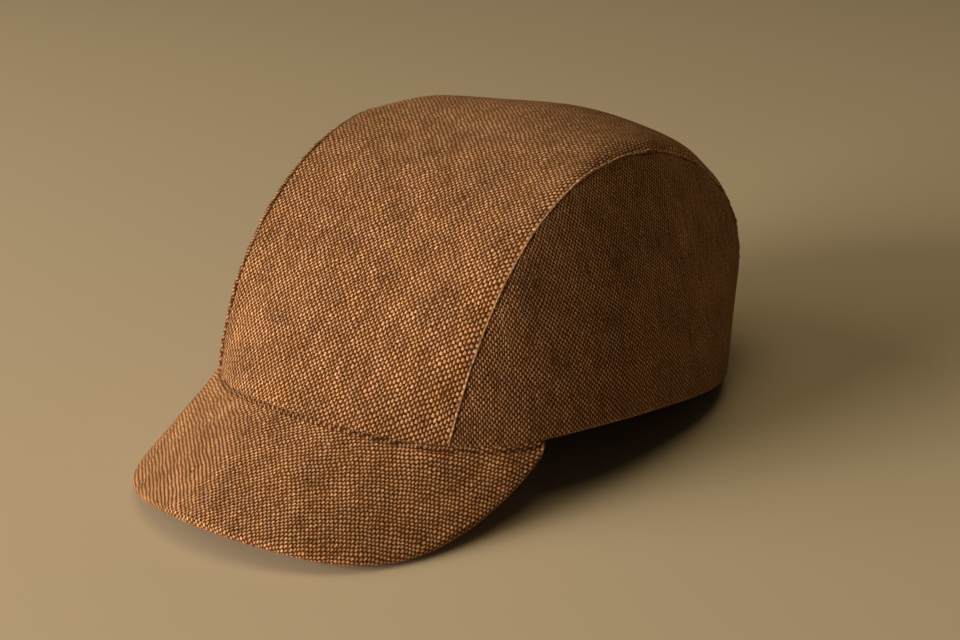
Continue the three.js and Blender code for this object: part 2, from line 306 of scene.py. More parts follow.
def side_point(t, q):
    """The left side panel from front to back (t 0 to 1) and from its seam (q 1) down to the hem (q 2)."""
    t, q = np.broadcast_arrays(t, q)
    seam = seam_line(t)
    hem = hem_point(lerp(SEAM_FRONT_ANGLE, SEAM_BACK_ANGLE, t))
    flare = 1 + SIDE_FLARE_BACK * t
    shoulder_height = lerp(hem[..., 2], seam[..., 2], SIDE_SHOULDER)
    shoulder = stacked(hem[..., 0] * flare, hem[..., 1] * flare, shoulder_height)
    sharpness = np.minimum(1, SHOULDER_SHARPNESS * np.sin(np.pi * t))[..., None]
    shoulder = lerp((hem + seam) / 2, shoulder, sharpness)
    down = (q - 1)[..., None]
    return seam * (1 - down) ** 2 + shoulder * 2 * down * (1 - down) + hem * down**2


def visor_rim():
    corner = hem_point(VISOR_ANGLE) - (0, 0, VISOR_THICKNESS / 2 + GAP)
    left = [corner, *[np.array(point, float) for point in VISOR_POINTS]]
    right = [point * (-1, 1, 1) for point in left]
    return spline(right + left[::-1])


rim_line = visor_rim()


def visor_point(w, r):
    """The visor's middle face, from right corner to left (w -1 to 1) and from seam to rim (r 0 to 1)."""
    w, r = np.broadcast_arrays(w, r)
    seam = hem_point(w * VISOR_ANGLE, TWEED) - (0, 0, VISOR_THICKNESS / 2 + GAP)
    return lerp(seam, rim_line((1 + w) / 2), r[..., None])


# ---- grids of points ----


def grid_normals(points):
    """The outward direction at each point of a grid whose rows run front to back and columns to the left."""
    along_rows = np.gradient(points, axis=0)
    along_columns = np.gradient(points, axis=1)
    return unit(np.cross(along_columns, along_rows))


def travelled(points, axis):
    """The distance travelled from the start of each row or column of a grid."""
    step = np.linalg.norm(np.diff(points, axis=axis), axis=-1)
    start = np.zeros_like(np.take(step, [0], axis=axis))
    return np.concatenate([start, np.cumsum(step, axis=axis)], axis=axis)


def crowded(width, count):
    """Shares of a width, close together at both ends, where cloth rolls over its edge."""
    width = np.asarray(width, float)[..., None]
    edge = EDGE_STEPS * np.minimum(1, EDGE_SHARE * width / EDGE_STEPS[-1])
    between = np.linspace(0, 1, count + 2)[1:-1]
    inner = lerp(edge[..., -1:], width - edge[..., -1:], between)
    return np.concatenate([edge, inner, (width - edge)[..., ::-1]], -1) / width


def rolled(distance, radius):
    """How far a face has dropped where it rolls over its edge in a quarter circle."""
    inside = np.clip(1 - distance / radius, 0, 1)
    return radius * (1 - np.sqrt(1 - inside**2))


def ripple(u, v, length, seed):
    """Smooth unevenness between about -1 and 1, with bumps about as long as length."""
    generator = np.random.default_rng(seed)
    total = np.zeros(np.broadcast(u, v).shape)
    waves = 7
    for _ in range(waves):
        heading, phase = generator.uniform(0, 2 * np.pi, 2)
        wave = 2 * np.pi / (length * generator.uniform(0.7, 1.5))
        total += np.sin((u * np.cos(heading) + v * np.sin(heading)) * wave + phase)
    return total / math.sqrt(waves)


def cloth_map(points, normals, warp, base):
    """Cloth coordinates in mm of a grid: across the warp, and along it. They start from column base."""
    warp = unit(warp - (warp * normals).sum(-1, keepdims=True) * normals)
    weft = np.cross(warp, normals)

    def walked(axis):
        step = np.diff(points, axis=axis)
        middle = [slice(None)] * 2
        middle[axis] = slice(1, None)
        moves = [(step * way[tuple(middle)]).sum(-1) for way in (weft, warp)]
        moves = np.stack(moves, -1)
        start = np.zeros_like(np.take(moves, [0], axis=axis))
        return np.concatenate([start, np.cumsum(moves, axis=axis)], axis=axis)

    along_columns = walked(1)
    from_base = along_columns - along_columns[:, base : base + 1]
    return walked(0)[:, base : base + 1] + from_base


# ---- meshes ----


def grid_faces(rows, columns, start=0):
    """The quads of a grid of points, which face the way its normals do."""
    corner = np.arange(rows * columns).reshape(rows, columns)[:-1, :-1].ravel() + start
    return np.stack([corner, corner + 1, corner + columns + 1, corner + columns], -1)


def rim_faces(rows, columns):
    """The quads that join the rims of an outer and an inner grid of the same shape."""
    at = np.arange(rows * columns).reshape(rows, columns)
    rim = np.concatenate([at[0, ::-1], at[1:, 0], at[-1, 1:], at[-2:0:-1, -1]])
    after = np.roll(rim, -1)
    inner = rows * columns
    return np.stack([rim, after, after + inner, rim + inner], -1)


def make_mesh(name, points, faces, cloth, **painted_light):
    """A smooth-shaded mesh object from points in mm, with its cloth coordinates and where light and shade are
    painted on it.
    """
    mesh = bpy.data.meshes.new(name)
    mesh.from_pydata((points * MM).tolist(), [], faces.tolist())
    mesh.shade_smooth()
    flat = np.concatenate([cloth, np.zeros((len(cloth), 1))], -1)
    attribute = mesh.attributes.new("cloth", "FLOAT_VECTOR", "POINT")
    attribute.data.foreach_set("vector", flat.astype(np.float32).ravel())
    for label, amount in painted_light.items():
        attribute = mesh.attributes.new(label, "FLOAT", "POINT")
        attribute.data.foreach_set("value", amount.astype(np.float32))
    mesh.validate()
    return place(name, mesh)


def sheet_mesh(name, outer, inner, cloth, inner_cloth=None, **painted_light):
    """A closed sheet of cloth between an outer and an inner grid of points."""
    rows, columns = outer.shape[:2]
    count = rows * columns
    back = grid_faces(rows, columns, count)[:, ::-1]
    faces = np.concatenate([grid_faces(rows, columns), back, rim_faces(rows, columns)])
    points = np.concatenate([outer.reshape(-1, 3), inner.reshape(-1, 3)])
    inner_cloth = cloth if inner_cloth is None else inner_cloth
    cloth = np.concatenate([cloth.reshape(-1, 2), inner_cloth.reshape(-1, 2)])
    painted_light = {label: np.tile(amount.ravel(), 2) for label, amount in painted_light.items()}
    return make_mesh(name, in_row_frame(points), faces, cloth, **painted_light)


def in_row_frame(points):
    return points + (0, HEAD_Y, 0)


# ---- the crown's skin: a grid on one panel with all that its layers need ----


class Skin:
    """A grid on a crown panel: points, outward directions, cloth coordinates and distances to its edges."""

    def __init__(self, points, normals, to_seam, to_hem, along_seam, cloth, over_hem):
        self.points = points
        self.normals = normals
        self.to_seam = to_seam
        self.to_hem = to_hem
        self.along_seam = along_seam
        self.cloth = cloth
        self.over_hem = over_hem  # the way out over the nearest hem, in cloth coordinates

    def at(self, offset):
        return self.points + self.normals * np.asarray(offset)[..., None]


MITRE_REACH = 3.0  # two panels share one outward direction within this distance of their seam
LEVEL_REACH = 5.0  # outward directions turn level over this height above the hem
MIRROR = np.array([-1, 1, 1])


def seam_mitres(t):
    """The direction between the two panels' own outward directions, at each point of the left seam."""
    step = 0.004
    rows = np.clip(np.stack([t - step, t, t + step]), 0, 1)

    def own(panel, q):
        columns = np.array(q)[None, None, :]
        points = panel(rows[..., None], columns)
        along = points[2, :, 0] - points[0, :, 0]
        across = points[1, :, 1] - points[1, :, 0]
        return unit(np.cross(across, along))

    return unit(own(centre_point, [0.985, 1.0]) + own(side_point, [1.0, 1.015]))


def settle(normals, mitres, to_seam, to_hem):
    """Turns the outward directions to the shared mitre at a seam, and level at the hem."""
    share = (1 - smooth(to_seam / MITRE_REACH))[..., None]
    normals = unit(lerp(normals, mitres, share))
    level = normals * (1, 1, 0)
    share = (1 - smooth(to_hem / LEVEL_REACH))[..., None]
    return unit(lerp(normals, level, share))


def centre_skin(rows, columns, margin=(0, 0)):
    """The centre panel, less a margin in mm at its seams and at its hems."""
    fine = np.linspace(0, 1, 400)
    length = travelled(ridge_line(fine)[:, None], 0)[-1, 0]
    trim = margin[1] / length
    t = lerp(trim, 1 - trim, crowded(length - 2 * margin[1], rows))
    width = travelled(centre_point(t[:, None], np.linspace(-1, 1, 81)[None]), 1)[:, -1]
    trim = (margin[0] / width)[:, None]
    q = 2 * lerp(trim, 1 - trim, crowded(width - 2 * margin[0], columns)) - 1
    points = centre_point(t[:, None], q)
    normals = grid_normals(points)
    across = travelled(points, 1) + margin[0]
    to_seam = np.minimum(across, width[:, None] - across)
    along = travelled(points, 0) + margin[1]
    to_hem = np.minimum(along, along[-1] + margin[1] - along)
    mitre = seam_mitres(t)[:, None]
    mitres = np.where((q < 0)[..., None], mitre * (-1, 1, 1), mitre)
    warp = unit(np.gradient(ridge_line(t), axis=0))[:, None]
    middle = q.shape[1] // 2
    cloth = cloth_map(points, normals, warp, middle)
    along_seam = travelled(seam_line(t)[:, None], 0)
    normals = settle(normals, mitres, to_seam, to_hem)
    at_front = (along < along[-1] / 2)[..., None]
    over_hem = np.where(at_front, unit(cloth[:1] - cloth[8:9]), unit(cloth[-1:] - cloth[-9:-8]))
    return Skin(points, normals, to_seam, to_hem, along_seam, cloth, over_hem)


SIDE_TIP = 0.004  # a side panel's pointed ends stop this far short of the hem, as a share of its length


def side_skin(side, rows, columns, margin=(0, 0), tip=SIDE_TIP):
    """A side panel, 1 for the left and -1 for the right, less a margin in mm at its seam and at its hem."""
    fine = np.linspace(0, 1, 400)
    length = travelled(seam_line(fine)[:, None], 0)[-1, 0]
    t = lerp(tip, 1 - tip, crowded(length, rows))
    width = travelled(side_point(t[:, None], np.linspace(1, 2, 41)[None]), 1)[:, -1]
    kept = np.maximum(width - margin[0] - margin[1], 0.3 * width)
    scale = (width - kept) / max(sum(margin), 1e-9)
    start = margin[0] * scale / width
    q = 1 + start[:, None] + crowded(kept, columns) * (kept / width)[:, None]
    points = side_point(t[:, None], q)
    normals = grid_normals(points)
    to_seam = travelled(points, 1) + (margin[0] * scale)[:, None]
    to_hem = np.maximum(width[:, None] - to_seam, 0)
    mitres = np.broadcast_to(seam_mitres(t)[:, None], points.shape)
    warp = np.broadcast_to(np.array([0.0, 0.0, 1.0]), points.shape)
    cloth = cloth_map(points, normals, warp, q.shape[1] // 2)
    along_seam = travelled(seam_line(t)[:, None], 0)
    normals = settle(normals, mitres, to_seam, to_hem)
    over_hem = np.broadcast_to(unit(cloth[:, -1:] - cloth[:, -9:-8]), cloth.shape)
    if side > 0:
        return Skin(points, normals, to_seam, to_hem, along_seam, cloth, over_hem)
    grids = (points * MIRROR, normals * MIRROR, to_seam, to_hem)
    maps = (cloth * (-1, 1), over_hem * (-1, 1))
    return Skin(*[grid[:, ::-1] for grid in grids], along_seam, *[grid[:, ::-1] for grid in maps])


# ---- materials ----


class Wire:
    """A value in a node tree. Sums and products of wires add the nodes that work them out."""

    def __init__(self, tree, socket):
        self.tree = tree
        self.socket = socket

    def math(self, operation, *others):
        node = self.tree.nodes.new("ShaderNodeMath")
        node.operation = operation
        for plug, value in zip(node.inputs, (self, *others)):
            connect(self.tree, value, plug)
        return Wire(self.tree, node.outputs[0])

    def __add__(self, other):
        return self.math("ADD", other)

    def __sub__(self, other):
        return self.math("SUBTRACT", other)

    def __mul__(self, other):
        return self.math("MULTIPLY", other)

    def __truediv__(self, other):
        return self.math("DIVIDE", other)


def connect(tree, value, plug):
    """Links a wire to a socket, or sets the socket to a plain value."""
    if isinstance(value, Wire):
        tree.links.new(value.socket, plug)
    else:
        plug.default_value = value


def split(tree, vector):
    """A vector's first two parts."""
    node = tree.nodes.new("ShaderNodeSeparateXYZ")
    tree.links.new(vector.socket, node.inputs[0])
    return Wire(tree, node.outputs[0]), Wire(tree, node.outputs[1])


def joined(tree, x, y, z=0.0):
    node = tree.nodes.new("ShaderNodeCombineXYZ")
    for plug, value in zip(node.inputs, (x, y, z)):
        connect(tree, value, plug)
    return Wire(tree, node.outputs[0])


def noise(tree, vector, scale, detail=2.0):
    """Noise between 0 and 1 round 0.5."""
    node = tree.nodes.new("ShaderNodeTexNoise")
    node.inputs["Scale"].default_value = scale
    node.inputs["Detail"].default_value = detail
    tree.links.new(vector.socket, node.inputs["Vector"])
    return Wire(tree, node.outputs["Fac"])


def speckle(tree, vector):
    """A different value between 0 and 1 for each whole-numbered place."""
    node = tree.nodes.new("ShaderNodeTexWhiteNoise")
    node.noise_dimensions = "2D"
    tree.links.new(vector.socket, node.inputs["Vector"])
    return Wire(tree, node.outputs["Value"])


def ramp(tree, value, low, high):
    """0 below low, 1 above high and smooth between."""
    node = tree.nodes.new("ShaderNodeMapRange")
    node.interpolation_type = "SMOOTHSTEP"
    connect(tree, value, node.inputs["Value"])
    node.inputs["From Min"].default_value = low
    node.inputs["From Max"].default_value = high
    return Wire(tree, node.outputs["Result"])


def blend_colours(tree, share, first, second):
    node = tree.nodes.new("ShaderNodeMix")
    node.data_type = "RGBA"
    connect(tree, share, node.inputs["Factor"])
    connect(tree, first, node.inputs["A"])
    connect(tree, second, node.inputs["B"])
    return Wire(tree, node.outputs["Result"])


def brightened(tree, colour, amount):
    """The colour times an amount."""
    node = tree.nodes.new("ShaderNodeVectorMath")
    node.operation = "SCALE"
    connect(tree, colour, node.inputs[0])
    connect(tree, amount, node.inputs["Scale"])
    return Wire(tree, node.outputs[0])


def attribute_of(tree, name, output):
    """A value that the mesh keeps at each point."""
    node = tree.nodes.new("ShaderNodeAttribute")
    node.attribute_name = name
    return Wire(tree, node.outputs[output])


def new_material(name):
    made = bpy.data.materials.new(name)
    made.use_nodes = True
    tree = made.node_tree
    return made, tree, tree.nodes["Principled BSDF"]


PAINTED_SHADE_DEPTH = 0.85  # how dark the painted shade at the bottom of a crease is
WANDER_SCALE = 0.16  # how finely yarns wander, and how many pitches a waver of 1 lets them
WANDER_REACH = 6
RUN_LENGTH = 0.11  # how often a yarn changes in colour and thickness along its length
ODD_RUN_LENGTH = 0.07
PATCH_SCALE = 0.07
HEATHER_SCALE = 0.7  # a yarn or two
FIBRE_SCALE = 2.6
TOP_BLEND = 0.12  # the difference in height over which one yarn gives way to the other
SUNK_LIGHT = 0.72  # the light left on the lowest part of a yarn


class Weave:
    """The nodes of a plain weave: where its yarns are, how high they stand and how they vary."""

    def __init__(self, tree, pitch, waver, yarn, crimp):
        self.cloth = attribute_of(tree, "cloth", "Vector")
        u, v = split(tree, self.cloth)
        # Yarns wander a little, so the rows aren't ruled lines.
        u_wander = noise(tree, self.cloth, WANDER_SCALE, 4) - 0.5
        v_wander = noise(tree, brightened(tree, self.cloth, -1.0), WANDER_SCALE, 4) - 0.5
        u = u / pitch[0] + u_wander * waver * WANDER_REACH
        self.v = v / pitch[1] + v_wander * waver * WANDER_REACH
        self.end, self.pick = u.math("FLOOR"), self.v.math("FLOOR")
        across, along = u - self.end - 0.5, self.v - self.pick - 0.5
        side = (self.end + self.pick).math("FLOORED_MODULO", 2.0) * -2 + 1
        # Each yarn changes in colour and thickness along its length.
        self.warp_run = noise(tree, joined(tree, self.end * 7.3, self.v * RUN_LENGTH), 1.0, 2)
        self.weft_run = noise(tree, joined(tree, u * RUN_LENGTH, self.pick * 5.9, 3.0), 1.0, 2)

        def arch(x, width, run):
            square = (x * 2 / (run * width + width * 0.5)).math("POWER", 2.0)
            return square.math("MULTIPLY_ADD", -1.0, 1.0).math("MAXIMUM", 0.0).math("SQRT")

        def crest(x):
            return (x * math.pi).math("COSINE") * side * crimp

        warp_height = crest(along) + arch(across, yarn[0], self.warp_run)
        weft_height = arch(along, yarn[1], self.weft_run) - crest(across)
        self.on_top = ramp(tree, warp_height - weft_height, -TOP_BLEND, TOP_BLEND)
        self.height = warp_height.math("MAXIMUM", weft_height)
        self.fibre = noise(tree, self.cloth, FIBRE_SCALE, 3)


def unevenness(tree, weave, patchy, dots, heather):
    """How light the cloth is round 1: in patches, fibre by fibre, crossing by crossing and in its dye."""
    crossing = speckle(tree, joined(tree, weave.end, weave.pick))
    patch = noise(tree, weave.cloth, PATCH_SCALE, 5)
    total = (patch - 0.5) * patchy * 2 + (weave.fibre - 0.5) * 0.35 + (crossing - 0.5) * dots * 2 + 1
    return (noise(tree, weave.cloth, HEATHER_SCALE, 3) - 0.5) * heather + total


def woven_colour(tree, weave, warp, weft, odd_warp, common):
    """The yarns' colours, with painted shade in the gaps between yarns and in creases, and a painted
    highlight along the rolled edges.
    """
    warp_light = (weave.warp_run - 0.5) * 1.1 + common
    weft_light = (weave.weft_run - 0.5) * 1.2 + common
    if odd_warp:
        other = noise(tree, joined(tree, weave.end * 3.1, weave.v * ODD_RUN_LENGTH, 9.0), 1.0, 2)
        warp = blend_colours(tree, ramp(tree, other, 0.4, 0.6), (*warp, 1), (*odd_warp, 1))
    shade = ramp(tree, weave.height, 0.1, 1.2) * (1 - SUNK_LIGHT) + SUNK_LIGHT
    bright_weft = brightened(tree, weft, weft_light)
    bright_warp = brightened(tree, warp, warp_light)
    colour = blend_colours(tree, weave.on_top, bright_weft, bright_warp)
    # A painted highlight along rolled edges: the cloth there turns to its pale warp colour, without the shade
    # of its gaps.
    rub = attribute_of(tree, "rub", "Fac") * (weave.warp_run * 0.8 + 0.3)
    colour = blend_colours(tree, rub, brightened(tree, colour, shade), brightened(tree, warp, common))
    # Painted shade in creases darkens the colour.
    return brightened(tree, colour, attribute_of(tree, "crease", "Fac") * -PAINTED_SHADE_DEPTH + 1)


def woven_material(name, warp, weft, pitch, roughness, sheen=0.0, relief=0.2, patchy=0.25, dots=0.2,
                   crimp=0.5, waver=0.35, yarn=(0.68, 1.05), tint=(1, 0.56, 0.30, 1), odd_warp=None,
                   heather=0.0):
    """A plain weave in the cloth coordinates: warp and weft yarns a pitch apart, each with its own colour."""
    made, tree, shader = new_material(name)
    weave = Weave(tree, pitch, waver, yarn, crimp)
    common = unevenness(tree, weave, patchy, dots, heather)
    colour = woven_colour(tree, weave, warp, weft, odd_warp, common)
    tree.links.new(colour.socket, shader.inputs["Base Color"])
    rough = ((weave.fibre - 0.5) * 0.2 + roughness).math("MINIMUM", 1.0)
    tree.links.new(rough.socket, shader.inputs["Roughness"])
    bump = tree.nodes.new("ShaderNodeBump")
    bump.inputs["Distance"].default_value = relief * MM
    tree.links.new((weave.height + weave.fibre * 0.5).socket, bump.inputs["Height"])
    tree.links.new(bump.outputs["Normal"], shader.inputs["Normal"])
    shader.inputs["Specular IOR Level"].default_value = 0.1
    shader.inputs["Specular Tint"].default_value = tint
    shader.inputs["Sheen Weight"].default_value = sheen
    shader.inputs["Sheen Roughness"].default_value = 0.5
    shader.inputs["Sheen Tint"].default_value = tint
    return made


TAN = (0.61, 0.352, 0.225)
GOLD = (0.60, 0.340, 0.172)
BROWN = (0.112, 0.032, 0.006)


def tweed_material(name, pitch, light, relief=0.16):
    """The cap's tweed: tan warp over dark orange-brown weft, lighter or darker by an amount, which paints
    light or shade onto a copy of the same cloth.
    """
    tan, gold, brown = [tuple(light * part for part in colour) for colour in (TAN, GOLD, BROWN)]
    return woven_material(name, tan, brown, pitch, 0.92, sheen=0.22, relief=relief, patchy=0.55, dots=0.22,
                          odd_warp=gold, heather=0.7)


# One cloth in three copies: the side panels' copy is darker, a painted shade, and the visor's copy is
# brighter, painted light.
tweed = tweed_material("tweed", (1.08, 1.06), 1.0)
side_tweed_painted_shade = tweed_material("side_tweed_painted_shade", (0.84, 1.00), 0.83)
visor_tweed_painted_light = tweed_material("visor_tweed_painted_light", (1.10, 1.00), 1.10, relief=0.09)
canvas = woven_material("canvas", (0.62, 0.54, 0.40), (0.55, 0.47, 0.34), (0.7, 0.7), 0.9)
lining = woven_material("lining", (0.06, 0.026, 0.014), (0.045, 0.019, 0.01), (0.35, 0.35), 0.42,
                        relief=0.05, patchy=0.1, dots=0.05)
tape = woven_material("tape", (0.09, 0.05, 0.028), (0.065, 0.034, 0.018), (0.5, 0.5), 0.8, relief=0.1)
band = woven_material("band", (0.10, 0.055, 0.030), (0.07, 0.036, 0.019), (0.45, 1.1), 0.7, relief=0.15)


def board_material():
    """The visor board: pale pressed board, slightly mottled."""
    made, tree, shader = new_material("board")
    place_in = Wire(tree, tree.nodes.new("ShaderNodeTexCoord").outputs["Object"])
    mottle = noise(tree, place_in, 240.0, 4)
    pale = blend_colours(tree, mottle, (0.74, 0.71, 0.64, 1), (0.84, 0.82, 0.77, 1))
    tree.links.new(pale.socket, shader.inputs["Base Color"])
    tree.links.new((mottle * 0.3 + 0.35).socket, shader.inputs["Roughness"])
    return made


board = board_material()

# ---- the crown's layers ----


def finished(piece, material, slot, *nodes):
    """Gives a piece its material, hangs it from the root body and hides the CAD nodes that it stands for.
    slot is not used.
    """
    piece.data.materials.append(material)
    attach(piece, "root")
    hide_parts(*nodes)
    return piece


def roll(distance, height, middle, half_width):
    """A soft ridge of a height, its middle a distance from an edge."""
    return height * np.exp(-(((distance - middle) / half_width) ** 2))


def puckers(skin, seed):
    """Unevenness that the stitches pull into the cloth along a seam."""
    total = 0
    for number, (length, height, reach) in enumerate(PUCKERS):
        waves = ripple(skin.along_seam, skin.to_seam * 0.4, length, seed + number)
        total = total + height * waves * np.exp(-skin.to_seam / reach)
    return total * smooth(skin.to_hem / 10)


class Edge:
    """How a panel's cloth lies along a seam."""

    def __init__(self, turn, bead, slope, rub, shade, pucker):
        self.turn = turn  # radius of the turned edge, and how deep it drops into the seam
        self.bead = bead  # height of the roll along it, the roll's place and its half width
        self.slope = slope  # how steeply the panel swells up from the seam
        self.rub = rub  # how pale the painted highlight along the roll is
        self.shade = shade  # painted shade in the seam: how dark, and how far it reaches
        self.pucker = pucker  # how strongly the stitches pull at it


# The seams' turnings lie towards the wearer's right, under the centre panel on the left and under the side
# panel on the right. The panel over them stands up in a roll, and the other one runs in under it.
EDGES = {
    ("centre", "left"): Edge((0.30, 0.24), (0.45, 0.55, 0.42), 0.50, 0.75, (0.0, 1.0), 1.2),
    ("side", "left"): Edge((0.15, 0.03), (0.00, 1.00, 1.00), 0.14, 0.0, (0.45, 0.6), 0.8),
    ("centre", "right"): Edge((0.90, 0.80), (0.00, 1.00, 1.00), 0.03, 0.0, (0.85, 1.5), 0.4),
    ("side", "right"): Edge((0.70, 0.70), (0.95, 1.60, 0.90), 0.14, 0.3, (0.85, 0.9), 0.4),
}


def edge_relief(skin, edge, seed):
    """What a seam adds to a panel's outer face, the painted highlight on its roll and the painted shade in
    its crease.
    """
    full = edge.slope * skin.to_seam * np.exp(-skin.to_seam / FULL_AT) * smooth(skin.to_hem / FULL_HIGH)
    beads = 1 + BEAD_WAVES * ripple(skin.along_seam, 0, BEAD_LENGTH, seed + BEAD_SEED)
    bead = roll(skin.to_seam, *edge.bead) * smooth(skin.to_hem / EDGE_OFF_HEM) * beads
    radius, depth = edge.turn
    relief = full + bead - rolled(skin.to_seam, radius) * depth / radius
    relief = relief + edge.pucker * puckers(skin, seed) * smooth(skin.to_hem / EDGE_OFF_HEM)
    rub = roll(skin.to_seam, edge.rub, *edge.bead[1:])
    shade, reach = edge.shade
    return np.stack([relief, rub, shade * fall_off(skin.to_seam / reach)])


def over_visor(skin):
    """1 where the hem lies on the visor, 0 round the rest."""
    front = np.abs(np.degrees(np.arctan2(skin.points[..., 0], -skin.points[..., 1])))
    return 1 - smooth((front - VISOR_ANGLE) / 6)


def hem_cloth(skin, outer_radius, inner_radius):
    """Cloth coordinates of a panel's outer face, and of the inner face that the cloth folds back to."""

    def gained(distance, radius):
        turn = np.clip(1 - distance / radius, 0, 1)
        return radius * (np.arcsin(turn) - turn)

    folded = 2 * skin.to_hem + gained(0, outer_radius) + gained(0, inner_radius)
    outer = skin.cloth + skin.over_hem * gained(skin.to_hem, outer_radius)[..., None]
    inner = skin.cloth + skin.over_hem * (folded - gained(skin.to_hem, inner_radius))[..., None]
    return outer, inner


def tweed_faces(skin, edge, seed):
    """A crown panel's outer and inner faces and their cloth coordinates. edge is its relief at the seams."""
    swell = SWELL * ripple(skin.cloth[..., 0], skin.cloth[..., 1], SWELL_LENGTH, seed + SWELL_SEED)
    hem_radius = lerp(HEM_RADIUS, HEM_RADIUS_AT_VISOR, over_visor(skin))
    relief = swell * smooth(skin.to_hem / SWELL_OFF_HEM) * smooth(skin.to_seam / SWELL_OFF_SEAM) + edge
    outer = relief - rolled(skin.to_hem, hem_radius)
    folded = 1 - smooth((skin.to_hem - FOLD_END + 0.5) / 1.0)
    thickness = lerp(TWEED, HEM_THICKNESS, folded)
    inner = np.minimum(rolled(skin.to_hem, HEM_RADIUS_INSIDE) - thickness, outer - THINNEST)
    return skin.at(outer), skin.at(inner), *hem_cloth(skin, hem_radius, HEM_RADIUS_INSIDE)


def add_panel(name, skin, material, node, edges, seed):
    """A crown panel's tweed. edges are how it lies along its seams, the right one first if it has two."""
    on_left = skin.points[..., 0] > 0
    both = [edge_relief(skin, edge, seed + number) for number, edge in enumerate((edges[-1], edges[0]))]
    edge, rub, crease = np.where(on_left, *both)
    at_visor = over_visor(skin)
    # A painted highlight along the hem's rolled edge, away from the visor.
    rub = np.maximum(rub, roll(skin.to_hem, *HEM_HIGHLIGHT) * (1 - at_visor))
    # Painted shade along the hem where it lies on the visor.
    crease = np.maximum(crease, HEM_SHADE * fall_off(skin.to_hem / HEM_SHADE_REACH) * at_visor)
    piece = sheet_mesh(name, *tweed_faces(skin, edge, seed), rub=rub, crease=crease)
    finished(piece, material, "tweed", node)


def add_layer(name, skin, offsets, material, slot, node):
    """A layer of even thickness under a panel's tweed, sewn in with it."""
    faces = [skin.at(offset + 0 * skin.to_seam) for offset in offsets]
    piece = finished(sheet_mesh(name, *faces, skin.cloth), material, slot, node)


SLIT = (SEAM_SLIT, 0)
canvas_offsets = (-(TWEED + GAP), -(TWEED + GAP + CANVAS))
lining_offsets = (canvas_offsets[1] - GAP, canvas_offsets[1] - GAP - LINING)

add_panel("crown_centre_cloth", centre_skin(440, 56, SLIT), tweed, "crown_centre_panel",
          [EDGES["centre", "right"], EDGES["centre", "left"]], CENTRE_SEED)
add_layer("canvas_centre_cloth", centre_skin(90, 20, (TAPE_HALF_WIDTH + 4, HEM_TURN)), canvas_offsets,
          canvas, "canvas", "canvas_centre")
add_layer("lining_centre_cloth", centre_skin(140, 36, (GAP, HEM_TURN)), lining_offsets,
          lining, "lining", "lining_centre")
for label, side in (("left", 1), ("right", -1)):
    add_panel(f"crown_side_{label}_cloth", side_skin(side, 400, 50, SLIT), side_tweed_painted_shade,
              f"crown_side_panel_{label}", [EDGES["side", label]], SIDE_SEED + side)
    canvas_skin = side_skin(side, 80, 16, (TAPE_HALF_WIDTH + 1, HEM_TURN), SIDE_LAYER_TIP)
    add_layer(f"canvas_side_{label}_cloth", canvas_skin, canvas_offsets,
              canvas, "canvas", f"canvas_side_{label}")
    lining_skin = side_skin(side, 120, 30, (GAP, HEM_TURN), SIDE_LAYER_TIP)
    add_layer(f"lining_side_{label}_cloth", lining_skin, lining_offsets,
              lining, "lining", f"lining_side_{label}")


def add_seam_tape(label, side):
    """A twill tape over a seam's turnings, on both panels."""
    t = np.linspace(0.035, 0.965, 180)[:, None]
    centre_width = travelled(centre_point(t, np.linspace(0, 1, 41)[None]), 1)[:, -1:]
    side_width = travelled(side_point(t, np.linspace(1, 2, 41)[None]), 1)[:, -1:]
    on_centre = 1 - np.linspace(TAPE_HALF_WIDTH + 2.5, 0, 8)[None] / centre_width
    reach = np.minimum(TAPE_HALF_WIDTH, 0.25 * side_width)
    on_side = 1 + np.linspace(0, 1, 8)[None, 1:] * reach / side_width
    points = np.concatenate([centre_point(t, on_centre), side_point(t, on_side)], 1)
    normals = grid_normals(points)
    for _ in range(12):
        normals[:, 1:-1] = unit(normals[:, :-2] + 2 * normals[:, 1:-1] + normals[:, 2:])
    cloth = np.stack(np.broadcast_arrays(travelled(points, 1), travelled(points, 0)[:, :1]), -1)
    if side < 0:
        points, normals, cloth = [grid[:, ::-1] for grid in (points * MIRROR, normals * MIRROR, cloth)]
    outer, inner = [points + normals * offset for offset in canvas_offsets]
    piece = sheet_mesh(f"seam_tape_{label}_cloth", outer, inner, cloth)
    finished(piece, tape, "tape", f"seam_tape_{label}")


for label, side in (("left", 1), ("right", -1)):
    add_seam_tape(label, side)

# ---- bands round the head opening ----

BAND_STEPS = 480
BAND_SLACK = 0.35  # slow unevenness of a band, which grows from its foot up


def band_slope(angle):
    """How far the bands lean in for their height: most at the sloping front, slightly out at the back."""
    turn = np.abs(angle)
    front = lerp(BAND_SLOPE_SIDE, BAND_SLOPE_FRONT, fall_off(turn / BAND_FRONT_SPAN))
    back = lerp(BAND_SLOPE_BACK, BAND_SLOPE_SIDE, fall_off((turn - 90) / 90))
    return np.where(turn < 90, front, back)


